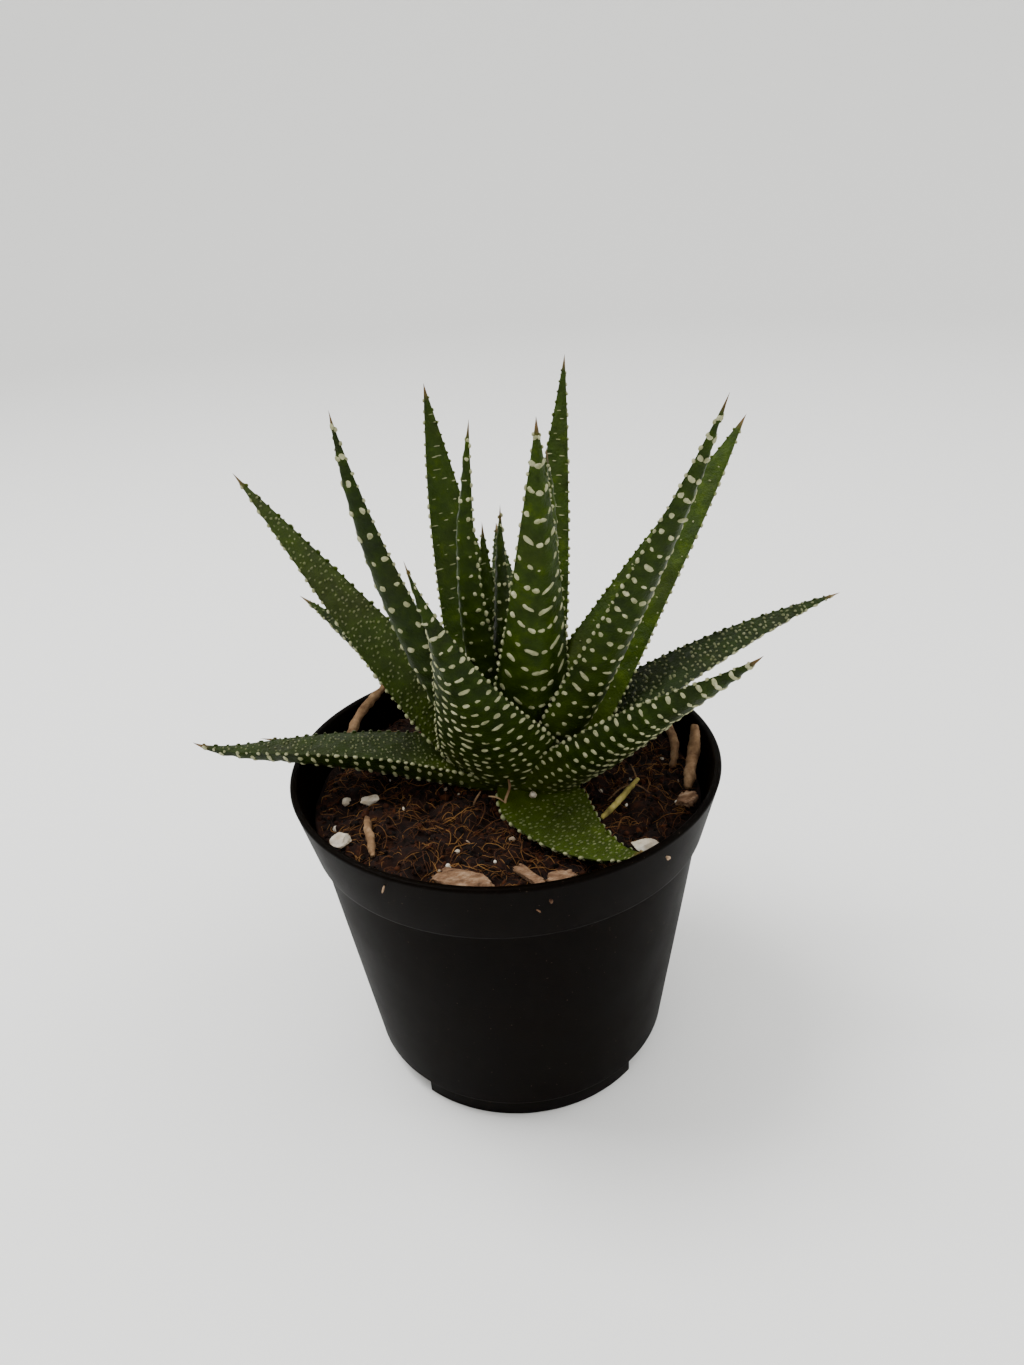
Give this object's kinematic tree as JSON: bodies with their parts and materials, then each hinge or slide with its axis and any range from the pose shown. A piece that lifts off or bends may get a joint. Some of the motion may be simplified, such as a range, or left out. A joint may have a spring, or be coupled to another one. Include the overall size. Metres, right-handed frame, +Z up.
{
  "type": "potted haworthia",
  "caption": "Rosette of keeled, white-spotted pointed succulent leaves growing from coir potting mix in a round tapered nursery pot with a wide collar.",
  "frame": {"origin": "centre of the flat boss under the pot, on the surface that the pot stands on", "axes": "+Z up along the pot's axis, -Y towards the front of the plant, +X to its right"},
  "size_m": [0.1563, 0.1202, 0.1737],
  "materials": {
    "leaf_skin": "waxy olive green leaf skin with raised off-white spots",
    "pot_plastic": "near-black moulded polypropylene, satin",
    "potting_mix": "damp dark brown coir and fibre",
    "stem_tissue": "dry pale stem base",
    "dry_root": "dry tan root",
    "bark_chip": "split dry bark and wood chips",
    "perlite": "chalky white expanded mineral grain",
    "twig_wood": "dry yellowish twig"
  },
  "bodies": {
    "root": {"pot": "pot_plastic", "root_ball": "potting_mix", "stem": "stem_tissue", "twig": "twig_wood", "leaf_inner_1": "leaf_skin", "leaf_inner_2": "leaf_skin", "leaf_inner_3": "leaf_skin", "leaf_inner_4": "leaf_skin", "leaf_upright_1": "leaf_skin", "leaf_upright_2": "leaf_skin", "leaf_upright_3": "leaf_skin", "leaf_middle_1": "leaf_skin", "leaf_middle_2": "leaf_skin", "leaf_middle_3": "leaf_skin", "leaf_middle_4": "leaf_skin", "leaf_outer_1": "leaf_skin", "leaf_outer_2": "leaf_skin", "leaf_outer_3": "leaf_skin", "leaf_low_1": "leaf_skin", "leaf_low_2": "leaf_skin", "leaf_low_3": "leaf_skin", "leaf_low_4": "leaf_skin", "leaf_back_1": "leaf_skin", "leaf_back_2": "leaf_skin", "leaf_back_3": "leaf_skin", "root_back_left": "dry_root", "root_front_left": "dry_root", "root_right_1": "dry_root", "root_right_2": "dry_root", "bark_front_left": "bark_chip", "bark_front": "bark_chip", "bark_front_right": "bark_chip", "bark_right": "bark_chip", "perlite_left": "perlite", "perlite_left_back": "perlite", "perlite_left_small": "perlite", "perlite_right": "perlite", "perlite_crown": "perlite"}
  },
  "joints": []
}
